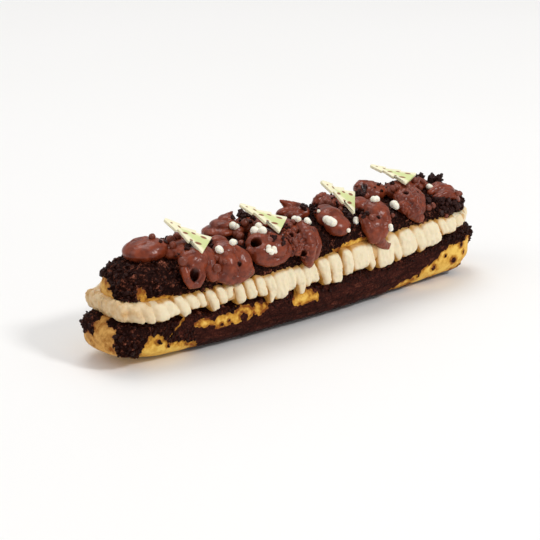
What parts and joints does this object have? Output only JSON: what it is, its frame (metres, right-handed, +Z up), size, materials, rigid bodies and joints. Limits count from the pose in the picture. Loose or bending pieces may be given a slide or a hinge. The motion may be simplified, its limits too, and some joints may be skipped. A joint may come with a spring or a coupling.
{
  "type": "chocolate eclair",
  "caption": "Long choux eclair with a cocoa crust, split and filled with piped cream, topped with ganache dollops and white chocolate fir-tree plaques.",
  "frame": {"origin": "middle of the flat sole the eclair lies on", "axes": "+X runs along the eclair, +Z is up, and -Y is the side where the front row of dollops hangs lower"},
  "size_m": [0.3265, 0.0767, 0.0924],
  "materials": {
    "choux": "rough",
    "cream": "satin",
    "ganache": "satin",
    "white_chocolate": "satin"
  },
  "bodies": {
    "root": {"choux_base": "choux", "choux_top": "choux", "cream_filling": "cream", "ganache_end": "ganache", "ganache_front_1": "ganache", "ganache_front_2": "ganache", "ganache_front_3": "ganache", "ganache_front_4": "ganache", "ganache_front_5": "ganache", "ganache_front_6": "ganache", "ganache_front_7": "ganache", "ganache_front_8": "ganache", "ganache_back_1": "ganache", "ganache_back_2": "ganache", "ganache_back_3": "ganache", "ganache_back_4": "ganache", "ganache_back_5": "ganache", "ganache_back_6": "ganache", "ganache_back_7": "ganache", "tree_1": "white_chocolate", "tree_2": "white_chocolate", "tree_3": "white_chocolate", "tree_4": "white_chocolate"}
  },
  "joints": []
}
